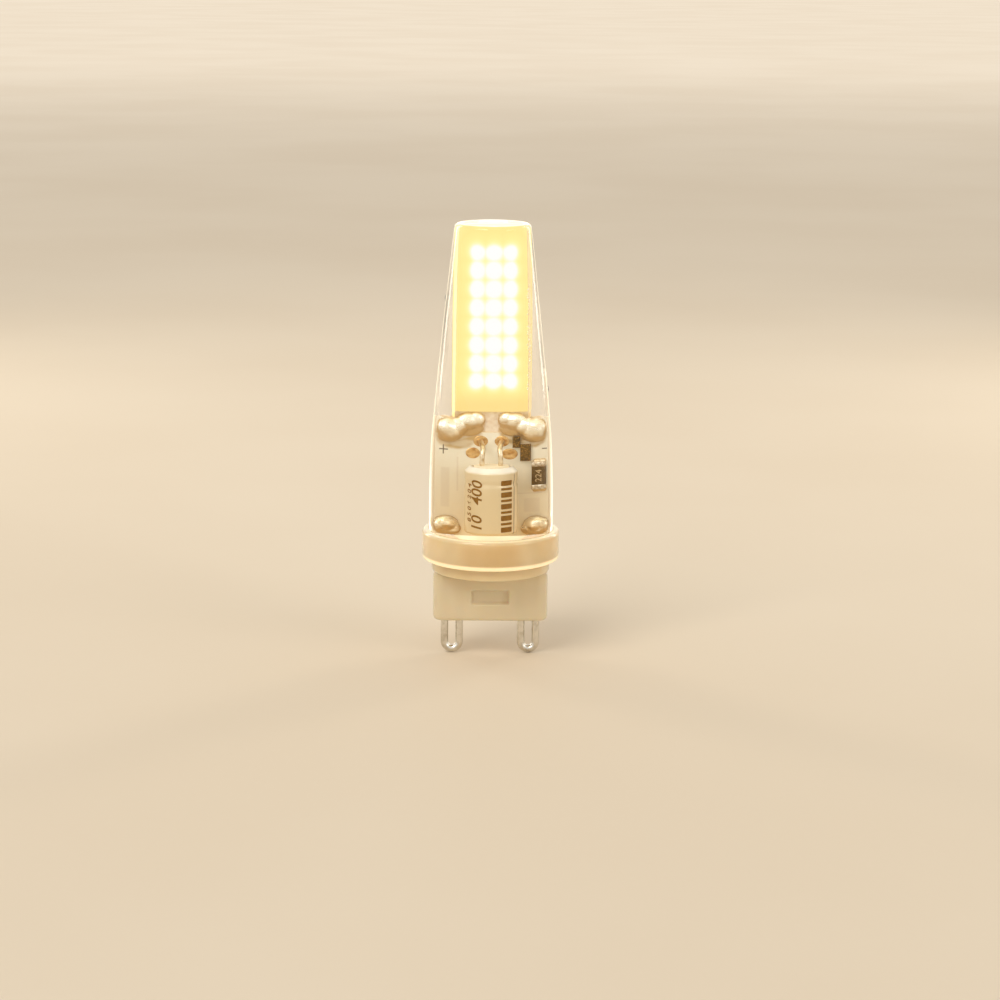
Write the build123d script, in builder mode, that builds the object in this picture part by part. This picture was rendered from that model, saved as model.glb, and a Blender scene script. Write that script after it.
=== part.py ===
from build123d import *
import os

os.makedirs("parts", exist_ok=True)

# Lamp capsule with two wire loops. The origin lies on the axis, in the underside of the collar.
# Z points to the tip, and the side with the capacitor faces -Y. Lengths are in millimetres.

# Cast body: a straight foot, then a taper to a flat tip
foot_radius = 7.18
shoulder_height = 13.2
tip_radius = 4.37
tip_height = 39.1
tip_chamfer = 0.5

# Base: collar, neck and flat plug in one moulding
collar_ledge = 0.82  # how far the collar stands out past the body's foot
collar_height = 3.5
collar_bevel = 0.7
collar_edge = 0.4
seat_depth = 0.5  # the body's foot stands this deep in the collar
seat_clearance = 0.03
neck_radius = 6.9
neck_height = 1.4
plug_width = 13.4
plug_thickness = 5.4
plug_height = 5.8
plug_corner = 1.2
plug_chamfer = 0.5
recess_width = 4.4  # the recess on each flat side that a socket's clip snaps into
recess_height = 1.6
recess_depth = 0.5

# Contact loops
loop_spacing = 9.0
loop_bend = 0.86  # radius of the bend, to the middle of the wire
loop_facets = 6
wire_radius = 0.45
pin_length = 4.4  # from the plug's end to the tip of the loop
wire_bury = 4.2  # how deep the free leg is moulded into the plug
wire_play = 0.05  # round the wire in its slot in the board
wire_rise = 5.0  # top of the soldered leg

# Boards, both with their middle plane at Y = 0
board_thickness = 1.0
edge_cover = 1.78  # cast material beside the driver board, at the foot
driver_foot = 1.1
driver_top = 16.6  # top of the two ears beside the light board
light_width = 6.4
light_foot = 15.1
light_corner = 0.5
tip_cover = 0.45  # cast material above the light board
board_gap = 0.05  # between the two boards, and round the board in the base

# Light: chips on the board under a coat of phosphor
phosphor_border = 0.05
phosphor_foot = 17.5
phosphor_thickness = 0.5
phosphor_edge = 0.15
chip_columns = 3
chip_column_pitch = 1.55
chip_row_pitch = 2.136
chip_offset = 0.12  # of the pattern, to the right on each side
chip_width = 0.56
chip_height = 1.0
chip_thickness = 0.15
chip_top_margin = 2.69  # from the coat's top edge to the middle of the first row
chip_foot_margin = 3.0

# Solder on the board faces: x, z, width, height and thickness of each pad's joint
solder_corner = 0.3  # cut off each corner, as a share of the pad's smaller side
solder_slope = 0.75  # share of the thickness that slopes in
light_solder = ((2.15, 16.15, 3.2, 1.6, 0.55), (3.9, 15.2, 2.5, 2.7, 0.8))
mains_solder = ((4.3, 4.1, 2.3, 2.1, 0.75),)

# Capacitor, standing before the driver board
can_diameter = 5.0
can_length = 7.6
can_foot = 3.9
can_shoulder = 0.6
sleeve_thickness = 0.1
sleeve_opening = 1.9  # radius that the sleeve leaves open at each end
can_standoff = 0.12  # between sleeve and board
bung_radius = 1.7
bung_depth = 1.2
bung_rise = 0.15
lead_spacing = 1.8
lead_radius = 0.24
lead_play = 0.12  # round the lead in its hole in the board
lead_margin = 1.0  # from the leads' holes up to the notch for the light board
lead_tail = 0.5  # past the rear face
lead_pad = 1.5
lead_solder_height = 0.4

# Small parts on the driver board: width, height, thickness
bleed_size = (1.6, 3.2, 0.55)
bleed_place = (4.38, 10.05)
bleed_fillet = 0.45
diode_sizes = {"chip_diode_upper": (0.66, 1.25, 0.4), "chip_diode_lower": (0.93, 1.9, 0.4)}
diode_places = {"chip_diode_upper": (2.15, 13.95), "chip_diode_lower": (2.97, 12.75)}
diode_edge = 0.06
bridge_size = (4.7, 4.0, 1.5)
bridge_place = (0.0, 8.2)
bridge_pin = (0.65, 1.1, 0.25)  # width, reach, thickness
bridge_pin_pitch = 2.54
driver_chip_size = (2.9, 1.6, 1.1)
driver_chip_place = (-3.0, 12.2)
driver_chip_pin = (0.4, 0.6, 0.2)
driver_chip_pin_pitch = 0.95
sense_size = (2.0, 1.25, 0.45)
sense_place = (2.9, 12.5)
package_edge = 0.12

FRONT = -1
REAR = 1
LEFT = -1
RIGHT = 1

collar_radius = foot_radius + collar_ledge
seat_height = collar_height - seat_depth
driver_half_width = foot_radius - edge_cover
light_top = tip_height - tip_cover
phosphor_width = light_width - 2 * phosphor_border
phosphor_top = light_top - phosphor_border
loop_inner_x = loop_spacing / 2 - loop_bend
can_radius = can_diameter / 2
can_y = -(board_thickness / 2 + can_standoff + sleeve_thickness + can_radius)
can_top = can_foot + can_length
lead_height = light_foot - board_gap - lead_margin


def board_face(face):
    # a plane on one face of the boards, its X sideways and its Y along the bulb's axis
    return Plane(
        origin=(0, face * board_thickness / 2, 0), x_dir=(-face, 0, 0), z_dir=(0, face, 0)
    )


def save(part, name):
    part.label = name
    export_step(part, f"parts/{name}.step")
    return part


def contact_loop(side):
    # one wire: up from the tip to the board inside, and a shorter leg that ends in the plug
    plug_end = -neck_height - plug_height
    bend_height = plug_end - pin_length + wire_radius + loop_bend
    bend_start = Vector(-side * loop_bend, 0, 0)
    middle = Vector(side * loop_spacing / 2, 0, bend_height)
    bend = [
        middle + bend_start.rotate(Axis.Y, -side * 180 * step / loop_facets)
        for step in range(loop_facets + 1)
    ]
    soldered_end = (bend[0].X, 0, wire_rise)
    free_end = (bend[-1].X, 0, plug_end + wire_bury)
    with BuildPart() as loop:
        with BuildLine() as path:
            Polyline(soldered_end, *bend, free_end)
        with BuildSketch(Plane(origin=soldered_end, z_dir=(0, 0, -1))):
            Circle(wire_radius)
        sweep(path=path.line, transition=Transition.RIGHT)
    return loop.part


def capacitor_lead(x):
    # up from the bung, a sharp bend, and back through the board
    foot = (x, can_y, can_top + bung_rise)
    with BuildPart() as lead:
        with BuildLine() as path:
            Polyline(
                foot,
                (x, can_y, lead_height),
                (x, board_thickness / 2 + lead_tail, lead_height),
            )
        with BuildSketch(Plane(origin=foot, z_dir=(0, 0, 1))):
            Circle(lead_radius)
        sweep(path=path.line, transition=Transition.RIGHT)
    return lead.part


def solder_mound(face, x, z, width, height, thickness):
    with BuildPart() as mound:
        with BuildSketch(board_face(face)) as pad:
            with Locations((-face * x, z)):
                Rectangle(width, height)
            chamfer(pad.vertices(), solder_corner * min(width, height))
        extrude(amount=thickness)
        outer = mound.faces().sort_by(Axis.Y)[0 if face == FRONT else -1]
        chamfer(outer.edges(), solder_slope * thickness)
    return mound.part


def solder_joint(face, side, pads):
    # solder on one or more overlapping pads of a board face
    mounds = [solder_mound(face, side * x, *shape) for x, *shape in pads]
    with BuildPart() as joint:
        for mound in mounds:
            add(mound)
    return joint.part


def led_chips(face, rows):
    middle = phosphor_top - chip_top_margin - (rows - 1) * chip_row_pitch / 2
    with BuildPart() as chips:
        with BuildSketch(board_face(face)):
            with Locations((chip_offset, middle)):
                with GridLocations(chip_column_pitch, chip_row_pitch, chip_columns, rows):
                    Rectangle(chip_width, chip_height)
        extrude(amount=chip_thickness)
    return chips.part


def phosphor_coat(face, chips):
    with BuildPart() as coat:
        with BuildSketch(board_face(face)):
            with Locations((0, (phosphor_top + phosphor_foot) / 2)):
                Rectangle(phosphor_width, phosphor_top - phosphor_foot)
        extrude(amount=phosphor_thickness)
        outer = coat.faces().sort_by(Axis.Y)[0 if face == FRONT else -1]
        chamfer(outer.edges(), phosphor_edge)
        add(chips, mode=Mode.SUBTRACT)
    return coat.part


def moulded_package(size, place, face, pin=None, pin_pitch=0.0, pin_count=0):
    # a rectangular package on a board face, with rows of flat pins at two opposite sides
    width, height, thickness = size
    x, z = place
    with BuildPart() as package:
        with BuildSketch(board_face(face)):
            with Locations((-face * x, z)):
                Rectangle(width, height)
        extrude(amount=thickness)
        outer = package.faces().sort_by(Axis.Y)[0 if face == FRONT else -1]
        chamfer(outer.edges(), package_edge)
        if pin_count:
            pin_width, pin_reach, pin_thickness = pin
            with BuildSketch(board_face(face)):
                with Locations((-face * x, z)):
                    with GridLocations(pin_pitch, 1, pin_count, 1):
                        Rectangle(pin_width, height + 2 * pin_reach)
            extrude(amount=pin_thickness)
    return package.part


# Boards
with BuildPart() as light_board:
    with BuildSketch(board_face(FRONT)):
        with Locations((0, (light_foot + light_top) / 2)):
            Rectangle(light_width, light_top - light_foot)
    extrude(amount=-board_thickness)
    chamfer(light_board.edges().filter_by(Axis.Y), light_corner)
save(light_board.part, "light_board")

with BuildPart() as driver_board:
    with BuildSketch(board_face(FRONT)):
        with Locations((0, driver_foot)):
            Rectangle(2 * driver_half_width, driver_top - driver_foot, align=(Align.CENTER, Align.MIN))
        with Locations((0, light_foot - board_gap)):
            notch_width = light_width + 2 * board_gap
            Rectangle(notch_width, driver_top, align=(Align.CENTER, Align.MIN), mode=Mode.SUBTRACT)
        with Locations((-loop_inner_x, driver_foot), (loop_inner_x, driver_foot)):
            slot_width = 2 * (wire_radius + wire_play)
            slot_rise = wire_rise + wire_play - driver_foot
            Rectangle(slot_width, slot_rise, align=(Align.CENTER, Align.MIN), mode=Mode.SUBTRACT)
        with Locations((-lead_spacing / 2, lead_height), (lead_spacing / 2, lead_height)):
            Circle(lead_radius + lead_play, mode=Mode.SUBTRACT)
    extrude(amount=-board_thickness)
save(driver_board.part, "driver_board")

# Light
chip_rows = 1 + int(
    (phosphor_top - phosphor_foot - chip_top_margin - chip_foot_margin) / chip_row_pitch
)
inner_parts = [light_board.part, driver_board.part]
for face, face_name in ((FRONT, "front"), (REAR, "rear")):
    chips = led_chips(face, chip_rows)
    coat = phosphor_coat(face, chips)
    inner_parts.append(save(chips, f"led_chips_{face_name}"))
    inner_parts.append(save(coat, f"phosphor_{face_name}"))

# Contact loops and solder
loops = []
for side, side_name in ((LEFT, "left"), (RIGHT, "right")):
    loops.append(save(contact_loop(side), f"contact_loop_{side_name}"))
for face, face_name in ((FRONT, "front"), (REAR, "rear")):
    for side, side_name, pole in ((LEFT, "left", "plus"), (RIGHT, "right", "minus")):
        light_joint = solder_joint(face, side, light_solder)
        inner_parts.append(save(light_joint, f"solder_{pole}_{face_name}"))
        mains_joint = solder_joint(face, side, mains_solder)
        inner_parts.append(save(mains_joint, f"mains_solder_{side_name}_{face_name}"))

# Capacitor: a can in a shrunk sleeve, a bung and two bent leads
can_plane = Plane.XZ.offset(-can_y)
can_axis = Axis((0, can_y, 0), (0, 0, 1))
with BuildSketch(can_plane) as can_outline:
    with Locations((0, can_foot)):
        Rectangle(can_radius, can_length, align=(Align.MIN, Align.MIN))
    chamfer(can_outline.vertices().sort_by_distance((can_radius, can_top))[0], can_shoulder)
with BuildPart() as capacitor_can:
    add(can_outline.sketch)
    revolve(axis=can_axis)
    with BuildSketch(Plane.XY.offset(can_top)):
        with Locations((0, can_y)):
            Circle(bung_radius)
    extrude(amount=-bung_depth, mode=Mode.SUBTRACT)

with BuildPart() as capacitor_sleeve:
    with BuildSketch(can_plane):
        add(can_outline.sketch)
        offset(amount=sleeve_thickness, kind=Kind.INTERSECTION)
        add(can_outline.sketch, mode=Mode.SUBTRACT)
        with Locations((0, can_foot + can_length / 2)):
            Rectangle(2 * sleeve_opening, 2 * can_length, mode=Mode.SUBTRACT)
    revolve(axis=can_axis)

with BuildPart() as capacitor_bung:
    with BuildSketch(Plane.XY.offset(can_top - bung_depth)):
        with Locations((0, can_y)):
            Circle(bung_radius)
    extrude(amount=bung_depth + bung_rise)

leads = [capacitor_lead(-lead_spacing / 2), capacitor_lead(lead_spacing / 2)]

lead_mounds = [
    solder_mound(REAR, x, lead_height, lead_pad, lead_pad, lead_solder_height)
    for x in (-lead_spacing / 2, lead_spacing / 2)
]
with BuildPart() as capacitor_solder:
    for mound, lead in zip(lead_mounds, leads):
        add(mound)
        add(lead, mode=Mode.SUBTRACT)

inner_parts.append(save(capacitor_can.part, "capacitor_can"))
inner_parts.append(save(capacitor_sleeve.part, "capacitor_sleeve"))
inner_parts.append(save(capacitor_bung.part, "capacitor_bung"))
inner_parts.append(save(leads[0], "capacitor_lead_left"))
inner_parts.append(save(leads[1], "capacitor_lead_right"))
inner_parts.append(save(capacitor_solder.part, "capacitor_solder"))

# Small parts on the front of the driver board
with BuildPart() as bleed_resistor:
    with BuildSketch(board_face(FRONT)):
        with Locations(bleed_place):
            Rectangle(bleed_size[0], bleed_size[1])
    extrude(amount=bleed_size[2])
inner_parts.append(save(bleed_resistor.part, "bleed_resistor"))

with BuildPart() as resistor_solder:
    for end in (-1, 1):
        end_height = bleed_place[1] + end * bleed_size[1] / 2
        with BuildSketch(Plane.YZ.offset(bleed_place[0] - bleed_size[0] / 2)):
            with BuildLine():
                Polyline(
                    (-board_thickness / 2, end_height),
                    (-board_thickness / 2, end_height + end * bleed_fillet),
                    (-board_thickness / 2 - bleed_size[2], end_height),
                    close=True,
                )
            make_face()
        extrude(amount=bleed_size[0])
inner_parts.append(save(resistor_solder.part, "resistor_solder"))

for name, size in diode_sizes.items():
    with BuildPart() as diode:
        with BuildSketch(board_face(FRONT)):
            with Locations(diode_places[name]):
                Rectangle(size[0], size[1])
        extrude(amount=size[2])
        chamfer(diode.faces().sort_by(Axis.Y)[0].edges(), diode_edge)
    inner_parts.append(save(diode.part, name))

# Parts on the rear of the driver board
bridge = moulded_package(bridge_size, bridge_place, REAR, bridge_pin, bridge_pin_pitch, 2)
inner_parts.append(save(bridge, "bridge_rectifier"))
driver_chip = moulded_package(
    driver_chip_size, driver_chip_place, REAR, driver_chip_pin, driver_chip_pin_pitch, 3
)
inner_parts.append(save(driver_chip, "driver_chip"))
sense = moulded_package(sense_size, sense_place, REAR)
inner_parts.append(save(sense, "sense_resistor"))

# Base
with BuildPart() as plug_base:
    with BuildSketch():
        Circle(collar_radius)
    extrude(amount=collar_height)
    chamfer(plug_base.faces().sort_by(Axis.Z)[-1].edges(), collar_bevel)
    chamfer(plug_base.faces().sort_by(Axis.Z)[0].edges(), collar_edge)
    with BuildSketch():
        Circle(neck_radius)
    extrude(amount=-neck_height)
    with BuildSketch(Plane.XY.offset(-neck_height)):
        RectangleRounded(plug_width, plug_thickness, plug_corner)
    extrude(amount=-plug_height)
    chamfer(plug_base.faces().sort_by(Axis.Z)[0].edges(), plug_chamfer)
    for face in (FRONT, REAR):
        flat = Plane(origin=(0, face * plug_thickness / 2, 0), x_dir=(1, 0, 0), z_dir=(0, face, 0))
        with BuildSketch(flat):
            with Locations((0, face * (neck_height + plug_height / 2))):
                Rectangle(recess_width, recess_height)
        extrude(amount=-recess_depth, mode=Mode.SUBTRACT)
    with BuildSketch(Plane.XY.offset(seat_height)):
        Circle(foot_radius + seat_clearance)
    extrude(amount=seat_depth, mode=Mode.SUBTRACT)
    with BuildSketch(Plane.XY.offset(driver_foot)):
        Rectangle(2 * (driver_half_width + board_gap), board_thickness + 2 * board_gap)
    extrude(amount=seat_depth + collar_height, mode=Mode.SUBTRACT)
    for loop in loops:
        add(loop, mode=Mode.SUBTRACT)
save(plug_base.part, "plug_base")

# Cast body, poured round everything that stands above the base
with BuildPart() as capsule_body:
    with BuildSketch(Plane.XZ) as profile:
        with BuildLine():
            Polyline(
                (0, seat_height),
                (foot_radius, seat_height),
                (foot_radius, shoulder_height),
                (tip_radius, tip_height),
                (0, tip_height),
                close=True,
            )
        make_face()
        chamfer(profile.vertices().sort_by_distance((tip_radius, tip_height))[0], tip_chamfer)
    revolve(axis=Axis.Z)
    for part in inner_parts + loops:
        add(part, mode=Mode.SUBTRACT)
save(capsule_body.part, "capsule_body")
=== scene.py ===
import math
import random

import bmesh
import bpy
from mathutils import Matrix, Vector


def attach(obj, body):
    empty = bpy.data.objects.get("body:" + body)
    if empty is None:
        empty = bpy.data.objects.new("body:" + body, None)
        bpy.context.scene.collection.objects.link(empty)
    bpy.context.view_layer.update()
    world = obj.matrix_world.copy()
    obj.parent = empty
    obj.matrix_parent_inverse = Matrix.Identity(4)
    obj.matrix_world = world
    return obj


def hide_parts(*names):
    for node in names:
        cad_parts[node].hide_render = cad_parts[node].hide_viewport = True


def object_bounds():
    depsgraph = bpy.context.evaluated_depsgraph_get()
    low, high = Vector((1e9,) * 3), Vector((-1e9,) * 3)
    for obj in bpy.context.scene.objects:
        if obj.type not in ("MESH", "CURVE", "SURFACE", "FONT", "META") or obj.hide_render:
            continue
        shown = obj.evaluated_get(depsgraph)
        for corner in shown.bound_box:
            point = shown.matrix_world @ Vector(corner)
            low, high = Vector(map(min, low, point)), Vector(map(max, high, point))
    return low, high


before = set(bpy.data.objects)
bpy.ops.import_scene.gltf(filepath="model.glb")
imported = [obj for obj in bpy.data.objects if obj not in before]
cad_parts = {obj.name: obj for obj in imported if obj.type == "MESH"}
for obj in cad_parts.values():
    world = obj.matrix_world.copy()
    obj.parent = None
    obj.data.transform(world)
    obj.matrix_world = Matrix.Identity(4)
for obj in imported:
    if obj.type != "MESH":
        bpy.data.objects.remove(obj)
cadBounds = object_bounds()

mm = 0.001


class Socket:
    # one output in a material; sums and products of it add their own nodes
    def __init__(self, shader, output):
        self.shader, self.output = shader, output

    def maths(self, operation, *values):
        return self.shader.node("Math", {"operation": operation}, values)

    def __add__(self, other):
        return self.maths("ADD", self, other)

    def __sub__(self, other):
        return self.maths("SUBTRACT", self, other)

    def __rsub__(self, other):
        return self.maths("SUBTRACT", other, self)

    def __mul__(self, other):
        return self.maths("MULTIPLY", self, other)

    def __truediv__(self, other):
        return self.maths("DIVIDE", self, other)

    def __rtruediv__(self, other):
        return self.maths("DIVIDE", other, self)

    def __pow__(self, other):
        return self.maths("POWER", self, other)

    def __abs__(self):
        return self.maths("ABSOLUTE", self)

    def __lt__(self, other):
        return self.maths("LESS_THAN", self, other)

    __radd__, __rmul__ = __add__, __mul__


class Shader:
    def __init__(self, name):
        self.material = bpy.data.materials.new(name)
        self.material.use_nodes = True
        self.tree = self.material.node_tree
        self.tree.nodes.clear()
        self.place = self.node("TexCoord", {}, {}, "Object")
        self.x, self.y, self.z = (
            self.node("SeparateXYZ", {}, [self.place], axis) / mm for axis in "XYZ"
        )  # millimetres

    def node(self, kind, settings, sockets, output=0):
        # any node: its settings first, a ramp's stops among them, then values or links
        made = self.tree.nodes.new("ShaderNode" + kind)
        for name, value in settings.items():
            if name == "stops":
                stops = made.color_ramp.elements
                while len(stops) < len(value):
                    stops.new(1.0)
                for stop, (position, colour) in zip(stops, value):
                    stop.position, stop.color = position, colour
            else:
                setattr(made, name, value)
        pairs = sockets.items() if isinstance(sockets, dict) else enumerate(sockets)
        for name, value in pairs:
            if isinstance(value, Socket):
                self.tree.links.new(value.output, made.inputs[name])
            else:
                made.inputs[name].default_value = value
        return Socket(self, made.outputs[output])

    def mix(self, mask, first, second):
        return self.node("Mix", {"data_type": "RGBA"}, {0: mask, 6: first, 7: second}, 2)

    def smooth(self, value, low, high):
        return self.node("MapRange", {"interpolation_type": "SMOOTHSTEP"}, [value, low, high])

    def noise(self, scale, detail, place=None):
        sockets = {"Vector": place or self.place, "Scale": scale, "Detail": detail}
        return self.node("TexNoise", {}, sockets)

    def stretched(self, x, y, z):
        # the place, scaled along each axis
        settings = {"operation": "MULTIPLY"}
        return self.node("VectorMath", settings, [self.place, (x, y, z)])

    def bump(self, height, depth, strength):
        sockets = {"Height": height, "Distance": depth * mm, "Strength": strength}
        return self.node("Bump", {}, sockets)

    def box(self, x, z, width, height, soft=0.02):
        # 1 inside a rectangle on the boards' faces, in millimetres
        across = self.smooth(abs(self.x - x), width / 2 + soft, width / 2 - soft)
        along = self.smooth(abs(self.z - z), height / 2 + soft, height / 2 - soft)
        return across * along

    def principled(self, sockets):
        return self.node("BsdfPrincipled", {}, sockets)

    def shown(self, surface):
        output = self.tree.nodes.new("ShaderNodeOutputMaterial")
        self.tree.links.new(surface.output, output.inputs["Surface"])
        return self.material


def paint(red, green, blue):
    # a colour as a picture shows it, 0 to 255, in linear values
    def linear(value):
        share = value / 255
        return share / 12.92 if share <= 0.04045 else ((share + 0.055) / 1.055) ** 2.4
    return (linear(red), linear(green), linear(blue), 1.0)


def finishPiece(piece, material, replaced=()):
    piece.data.materials.clear()
    piece.data.materials.append(material)
    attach(piece, "root")
    if replaced:
        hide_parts(*replaced)
    return piece


def meshObject(name, vertices, faces, smooth=True):
    mesh = bpy.data.meshes.new(name)
    mesh.from_pydata([Vector(v) * mm for v in vertices], [], faces)
    shaped = bmesh.new()
    shaped.from_mesh(mesh)
    bmesh.ops.recalc_face_normals(shaped, faces=shaped.faces)
    shaped.to_mesh(mesh)
    shaped.free()
    mesh.polygons.foreach_set("use_smooth", [smooth] * len(mesh.polygons))
    mesh.update()
    piece = bpy.data.objects.new(name, mesh)
    bpy.context.collection.objects.link(piece)
    return piece


def loftedRings(rings, looped=False):
    # faces between rings of equally many points, closed by a face at each end or into a loop
    count = len(rings[0])
    vertices = [point for ring in rings for point in ring]
    faces = []
    for level in range(len(rings) if looped else len(rings) - 1):
        low, high = level * count, (level + 1) % len(rings) * count
        for i in range(count):
            j = (i + 1) % count
            faces.append((low + i, low + j, high + j, high + i))
    if not looped:
        faces.append(tuple(reversed(range(count))))
        faces.append(tuple((len(rings) - 1) * count + i for i in range(count)))
    return vertices, faces


def revolvedRings(profile, angles, centre=(0.0, 0.0), radiusAt=None):
    rings = []
    for radius, height in profile:
        ring = []
        for angle in angles:
            r = radiusAt(radius, height, angle) if radiusAt else radius
            ring.append((centre[0] + r * math.cos(angle), centre[1] + r * math.sin(angle), height))
        rings.append(ring)
    return rings


def evenAngles(count):
    return [2 * math.pi * i / count for i in range(count)]


def arcPoints(centre, radius, start, end, steps):
    # points of an arc in the plane of a profile, angles in degrees
    points = []
    for i in range(steps + 1):
        angle = math.radians(start + (end - start) * i / steps)
        points.append((centre[0] + radius * math.cos(angle), centre[1] + radius * math.sin(angle)))
    return points


def curveThrough(points, x):
    # a smooth value at x from (x, value) points
    for i in range(len(points) - 1):
        (x1, y1), (x2, y2) = points[i], points[i + 1]
        if x <= x2 or i == len(points) - 2:
            x0, y0 = points[max(i - 1, 0)]
            x3, y3 = points[min(i + 2, len(points) - 1)]
            startSlope = (y2 - y0) / (x2 - x0)
            endSlope = (y3 - y1) / (x3 - x1)
            t, span = (x - x1) / (x2 - x1), x2 - x1
            return (
                (2 * t**3 - 3 * t**2 + 1) * y1 + (t**3 - 2 * t**2 + t) * span * startSlope
                + (3 * t**2 - 2 * t**3) * y2 + (t**3 - t**2) * span * endSlope
            )


def tube(name, path, radius, sides):
    # a round wire along points that lie close together, its ends rounded off
    path = [Vector(point) for point in path]
    rings, side = [], None
    for i, point in enumerate(path):
        before, after = path[max(i - 1, 0)], path[min(i + 1, len(path) - 1)]
        ahead = (after - before).normalized()
        if side is None:
            side = ahead.orthogonal().normalized()
        side = (side - ahead * side.dot(ahead)).normalized()
        other = ahead.cross(side)
        ends = [(point, radius)]
        if i == 0:
            ends = [(point + ahead * radius * 0.05, radius * 0.8), (point + ahead * radius * 0.2, radius)]
        if i == len(path) - 1:
            ends = [(point - ahead * radius * 0.2, radius), (point - ahead * radius * 0.05, radius * 0.8)]
        for middle, reach in ends:
            rings.append([
                tuple(middle + (side * math.cos(a) + other * math.sin(a)) * reach)
                for a in evenAngles(sides)
            ])
    return meshObject(name, *loftedRings(rings))


def pieceFrom(shaped, name):
    # a finished bmesh as a new object in the scene
    mesh = bpy.data.meshes.new(name)
    shaped.to_mesh(mesh)
    shaped.free()
    mesh.polygons.foreach_set("use_smooth", [True] * len(mesh.polygons))
    piece = bpy.data.objects.new(name, mesh)
    bpy.context.collection.objects.link(piece)
    return piece


def block(name, centre, size, edge):
    # a rectangular body with rounded edges
    shaped = bmesh.new()
    bmesh.ops.create_cube(shaped, size=1.0)
    bmesh.ops.scale(shaped, vec=Vector(size) * mm, verts=shaped.verts)
    bmesh.ops.bevel(
        shaped, geom=shaped.edges[:], offset=edge * mm, segments=3, profile=0.5, affect="EDGES",
    )
    bmesh.ops.translate(shaped, vec=Vector(centre) * mm, verts=shaped.verts)
    return pieceFrom(shaped, name)


def evaluatedMesh(piece):
    # the mesh of a text or of a piece with its modifiers applied
    bpy.context.view_layer.update()
    return bpy.data.meshes.new_from_object(
        piece.evaluated_get(bpy.context.evaluated_depsgraph_get())
    )


def joined(pieces):
    # several mesh objects as one, under the first one's name
    whole = bmesh.new()
    for piece in pieces:
        whole.from_mesh(piece.data)
    whole.to_mesh(pieces[0].data)
    whole.free()
    for piece in pieces[1:]:
        bpy.data.objects.remove(piece)
    return pieces[0]


print("finishes")


def clearCastFinish():
    s = Shader("clearCast")
    waves = s.noise(1.0, 2.0, s.stretched(260, 260, 90))
    dust = s.noise(1.0, 4.0, s.stretched(1500, 1500, 700))
    low = s.smooth(s.z, 30.0, 18.0) * s.smooth(s.z, 13.0, 16.0)
    sides = s.smooth(abs(s.x), 3.6, 5.4)
    grime = s.smooth(dust, 0.52, 0.62) * low * sides
    away = (s.x * s.x + s.y * s.y) ** 0.5
    # painted glow: the glass gets a pale emission at grazing rims, and less of it on the top face
    top = s.smooth(s.z, 38.9, 39.05) * s.smooth(away, 4.1, 3.2)
    facing = s.node("LayerWeight", {}, {"Blend": 0.5}, "Facing")
    paintedRimGlow = s.smooth(facing, 0.64, 0.92) * (1.0 - top * 0.65)  # painted glow at the rims, standing in for the lamp's light gathering there
    glass = s.principled({
        "Base Color": (0.985, 0.975, 0.955, 1.0),
        "Roughness": grime * 0.22,
        "IOR": 1.41,
        "Transmission Weight": 1.0,
        "Emission Color": s.mix(paintedRimGlow, (0, 0, 0, 1), paint(255, 240, 210)),
        "Emission Strength": 0.75,
        "Normal": s.bump(waves, 0.03, 0.3),
    })
    clear = s.node("BsdfTransparent", {}, {"Color": (0.97, 0.96, 0.94, 1.0)})
    shadowRay = s.node("LightPath", {}, {}, "Is Shadow Ray")
    diffuseRay = s.node("LightPath", {}, {}, "Is Diffuse Ray")
    lit = s.node("MixShader", {}, [shadowRay, glass, clear])
    return s.shown(s.node("MixShader", {}, [diffuseRay, lit, clear]))


def bubbleFinish():
    s = Shader("castBubble")
    glass = s.principled({
        "Base Color": (1, 1, 1, 1), "Roughness": 0.0, "IOR": 1.41, "Transmission Weight": 1.0,
    })
    clear = s.node("BsdfTransparent", {}, {})
    shadowRay = s.node("LightPath", {}, {}, "Is Shadow Ray")
    return s.shown(s.node("MixShader", {}, [shadowRay, glass, clear]))


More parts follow.
